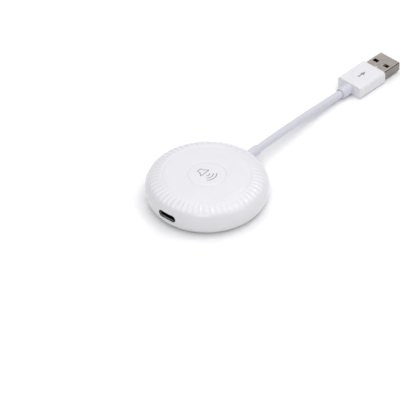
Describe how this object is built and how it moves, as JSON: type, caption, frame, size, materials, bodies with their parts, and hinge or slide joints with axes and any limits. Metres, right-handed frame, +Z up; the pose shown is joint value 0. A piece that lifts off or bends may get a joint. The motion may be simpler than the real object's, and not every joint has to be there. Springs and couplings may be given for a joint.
{
  "type": "bluetooth audio receiver",
  "caption": "Round wireless audio receiver with a fluted shoulder, a flush push button, a USB-C port and a short fixed cable with a USB-A plug.",
  "frame": {"origin": "centre of the puck's underside, at the level of the foot ring's lower face", "axes": "+Z up through the puck, -Y out of the USB-C port, +Y along the cable towards the USB-A plug"},
  "size_m": [0.056, 0.1583, 0.014],
  "materials": {
    "white_gloss_plastic": "moulded gloss, cool white",
    "white_satin_plastic": "fine spark-eroded satin, cool white",
    "foot_silicone": "matt grey silicone",
    "screw_steel": "zinc plated",
    "black_plastic": "matt black, glass filled",
    "natural_plastic": "unpigmented satin",
    "board_lacquer": "green solder resist",
    "chip_epoxy": "matt moulded epoxy",
    "tinned_steel": "tin plated sheet",
    "ferrite": "sintered matt grey",
    "component_ceramic": "fired ceramic",
    "cable_elastomer": "satin elastomer, lavender grey",
    "plug_plastic": "moulded satin gloss, cool white",
    "nickel_steel": "nickel plated, warm grey",
    "plug_insulator": "matt black",
    "contact_gold": "gold flash",
    "wire_red": "satin insulation",
    "wire_white": "satin insulation",
    "wire_green": "satin insulation",
    "wire_black": "satin insulation"
  },
  "bodies": {
    "receiver": {"housing": "white_gloss_plastic", "base_cover": "white_satin_plastic", "foot_ring": "foot_silicone", "case_screw_1": "screw_steel", "case_screw_2": "screw_steel", "case_screw_3": "screw_steel", "case_screw_4": "screw_steel", "switch_body": "black_plastic", "main_board": "board_lacquer", "bluetooth_chip": "chip_epoxy", "shield_can": "tinned_steel", "audio_chip": "chip_epoxy", "flash_memory": "chip_epoxy", "clock_crystal": "tinned_steel", "power_inductor": "ferrite", "input_capacitor": "component_ceramic", "output_capacitor": "component_ceramic", "chip_antenna": "component_ceramic", "board_screw_1": "screw_steel", "board_screw_2": "screw_steel", "usb_c_shell": "tinned_steel", "usb_c_tongue": "black_plastic", "cable_boot": "cable_elastomer", "cable_jacket": "cable_elastomer", "wire_red": "wire_red", "wire_white": "wire_white", "wire_green": "wire_green", "wire_black": "wire_black", "plug_collar": "cable_elastomer", "plug_overmold": "plug_plastic", "usb_a_shell": "nickel_steel", "usb_a_insulator": "plug_insulator", "usb_a_contact_1": "contact_gold", "usb_a_contact_2": "contact_gold", "usb_a_contact_3": "contact_gold", "usb_a_contact_4": "contact_gold"},
    "button": {"button_cap": "white_gloss_plastic"},
    "plunger": {"switch_plunger": "natural_plastic"}
  },
  "joints": [
    {"name": "button_press", "type": "slide", "parent": "receiver", "child": "button", "axis": [0, 0, -1], "range_m": [0, 0.00035], "stiffness_N_per_m": 4500},
    {"name": "plunger_press", "type": "slide", "parent": "receiver", "child": "plunger", "axis": [0, 0, -1], "range_m": [0, 0.00035]}
  ],
  "couplings": [
    {"joint": "plunger_press", "follows": "button_press", "ratio": 1}
  ]
}
